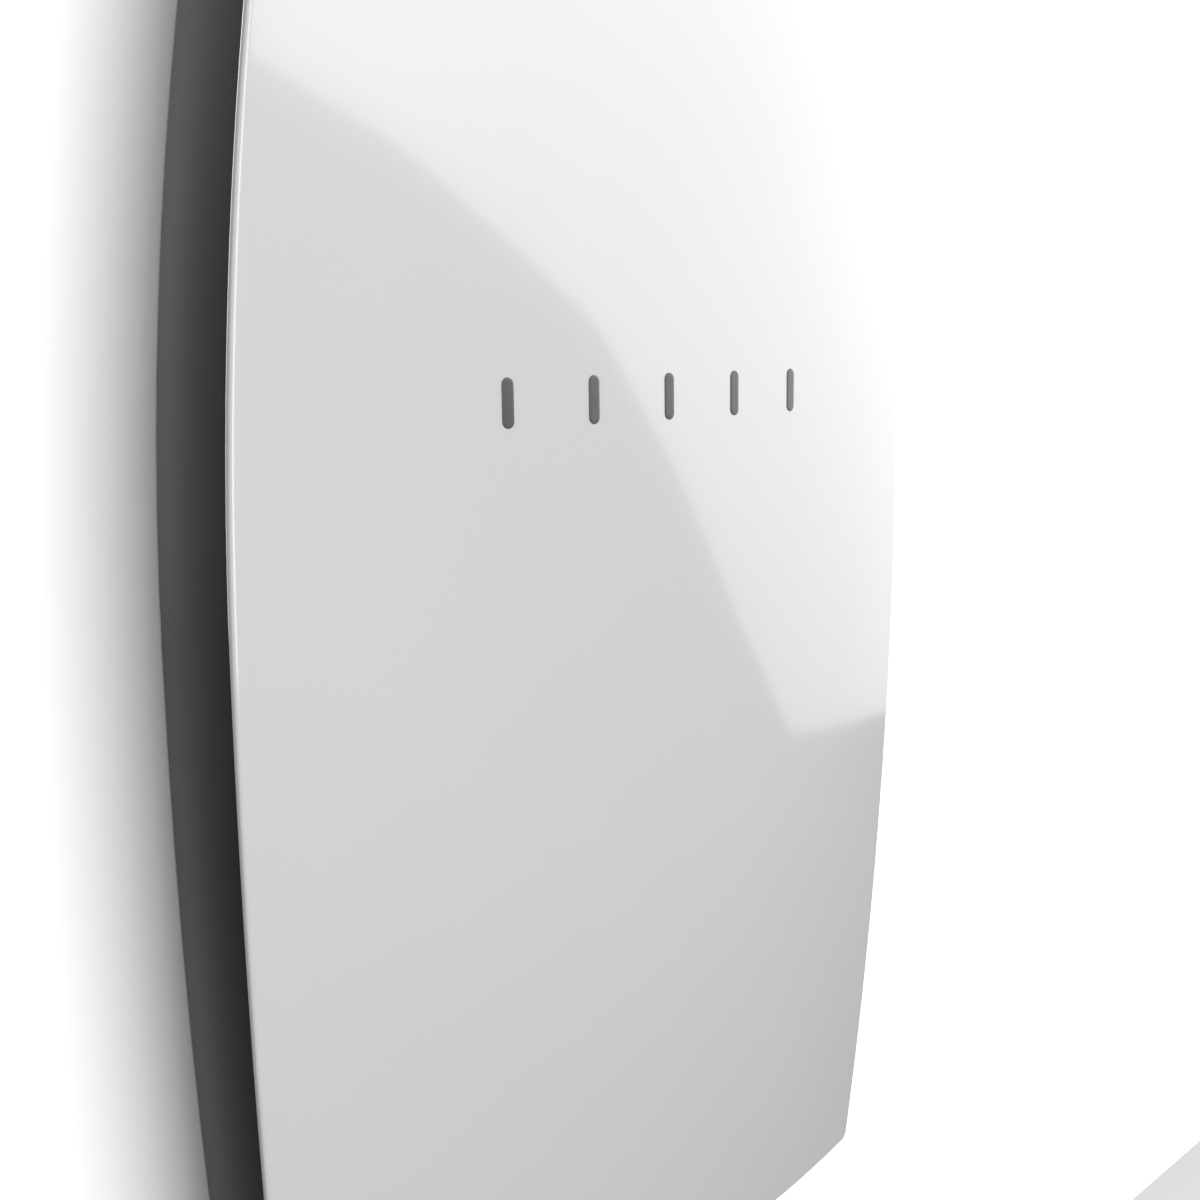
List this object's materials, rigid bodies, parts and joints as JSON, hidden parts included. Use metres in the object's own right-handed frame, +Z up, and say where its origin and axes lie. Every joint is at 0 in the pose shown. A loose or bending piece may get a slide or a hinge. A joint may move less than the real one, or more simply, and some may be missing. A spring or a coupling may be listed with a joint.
{
  "type": "wall battery unit",
  "caption": "Slim wall-hung battery unit: a bowed, shield-shaped gloss cover clipped to a dark casing that hooks on a wall bracket and holds battery modules, converter and cooling loop.",
  "frame": {"origin": "on the wall plane, at the centre of the wall bracket's four bolt slots, which is the middle of the unit's height and width", "axes": "+Z up, +X to the right seen from the room, +Y into the wall; the front cover faces -Y"},
  "size_m": [0.862, 0.1828, 1.302],
  "materials": {
    "bracket_steel": "satin zinc-rich black powder coat",
    "casing_coat": "satin dark graphite powder coat, fine orange peel",
    "lid_coat": "matte black powder coat",
    "cover_lacquer": "gloss white lacquered moulding",
    "mark_grey": "satin dark grey inlay",
    "zinc_steel": "bright zinc plated",
    "seal_rubber": "matte foam rubber",
    "black_nylon": "glass filled nylon",
    "white_nylon": "natural nylon",
    "alloy_sheet": "mill finish",
    "cell_sleeve": "heat shrink sleeve",
    "copper_bar": "rolled copper",
    "cap_plastic": "moulded insulating cap",
    "board_laminate": "solder mask over glass laminate",
    "ferrite_grey": "sintered ferrite",
    "can_sleeve": "sleeved aluminium can",
    "coil_orange": "moulded insulation",
    "lens_clear": "frosted light lens",
    "tank_plastic": "translucent blow moulded",
    "control_plastic": "fine textured moulding",
    "lever_red": "textured moulding"
  },
  "bodies": {
    "wall_bracket": {"wall_bracket": "bracket_steel", "bracket_bumpers": "seal_rubber"},
    "battery_unit": {"board_connectors": "white_nylon", "board_posts": "zinc_steel", "bus_bars_lower": "copper_bar", "bus_bars_upper": "copper_bar", "cable_glands": "black_nylon", "capacitors": "can_sleeve", "cells_lower": "cell_sleeve", "cells_upper": "cell_sleeve", "cold_plate_lower": "alloy_sheet", "cold_plate_upper": "alloy_sheet", "contactors": "cap_plastic", "control_panel": "control_plastic", "converter_board": "board_laminate", "converter_heat_sink": "alloy_sheet", "coolant_manifolds": "alloy_sheet", "coolant_pipes": "seal_rubber", "coolant_reservoir": "tank_plastic", "current_sensor": "control_plastic", "earth_stud": "zinc_steel", "fan_frame": "black_nylon", "gland_nuts": "black_nylon", "hanger_rails": "bracket_steel", "hanger_screws": "zinc_steel", "high_voltage_links": "copper_bar", "inductors": "ferrite_grey", "lid_seal": "seal_rubber", "management_board": "board_laminate", "module_cover_lower": "cap_plastic", "module_cover_upper": "cap_plastic", "module_nuts": "zinc_steel", "module_tray_lower": "alloy_sheet", "module_tray_upper": "alloy_sheet", "power_transistors": "cap_plastic", "pressure_vent": "black_nylon", "pump_housing": "black_nylon", "pump_lid": "black_nylon", "pump_motor": "alloy_sheet", "pyro_fuse": "coil_orange", "radiator_core": "alloy_sheet", "radiator_tanks": "black_nylon", "rear_casing": "casing_coat", "reservoir_cap": "black_nylon", "sense_board_lower": "board_laminate", "sense_board_upper": "board_laminate", "status_lens": "lens_clear", "terminal_block": "black_nylon", "terminal_clamps": "zinc_steel"},
    "casing_lid": {"casing_lid": "lid_coat", "lid_screws": "zinc_steel", "cover_studs": "zinc_steel"},
    "front_cover": {"front_cover": "cover_lacquer", "cover_clips": "white_nylon", "charge_marks": "mark_grey"},
    "fan_rotor": {"fan_rotor": "black_nylon"},
    "pump_impeller": {"pump_impeller": "white_nylon"},
    "isolator_lever": {"isolator_lever": "lever_red"},
    "power_rocker": {"power_rocker": "control_plastic"}
  },
  "joints": [
    {"name": "unit_lift_off", "type": "slide", "parent": "wall_bracket", "child": "battery_unit", "axis": [0, 0, 1], "range_m": [0, 0.025]},
    {"name": "lid_lift_off", "type": "slide", "parent": "battery_unit", "child": "casing_lid", "axis": [0, -1, 0], "range_m": [0, 0.18]},
    {"name": "cover_pull_off", "type": "slide", "parent": "casing_lid", "child": "front_cover", "axis": [0, -1, 0], "range_m": [0, 0.12]},
    {"name": "fan_spin", "type": "hinge", "parent": "battery_unit", "child": "fan_rotor", "pos_m": [-0.215, -0.08, -0.478], "axis": [0, -1, 0], "continuous": true},
    {"name": "pump_spin", "type": "hinge", "parent": "battery_unit", "child": "pump_impeller", "pos_m": [0.02, -0.07, -0.47], "axis": [0, -1, 0], "continuous": true},
    {"name": "isolator_turn", "type": "hinge", "parent": "battery_unit", "child": "isolator_lever", "pos_m": [0.4182, -0.057, 0.085], "axis": [1, 0, 0], "range_deg": [0, 90]},
    {"name": "rocker_tilt", "type": "hinge", "parent": "battery_unit", "child": "power_rocker", "pos_m": [0.4112, -0.057, 0.035], "axis": [0, 1, 0], "range_deg": [0, 16]}
  ]
}
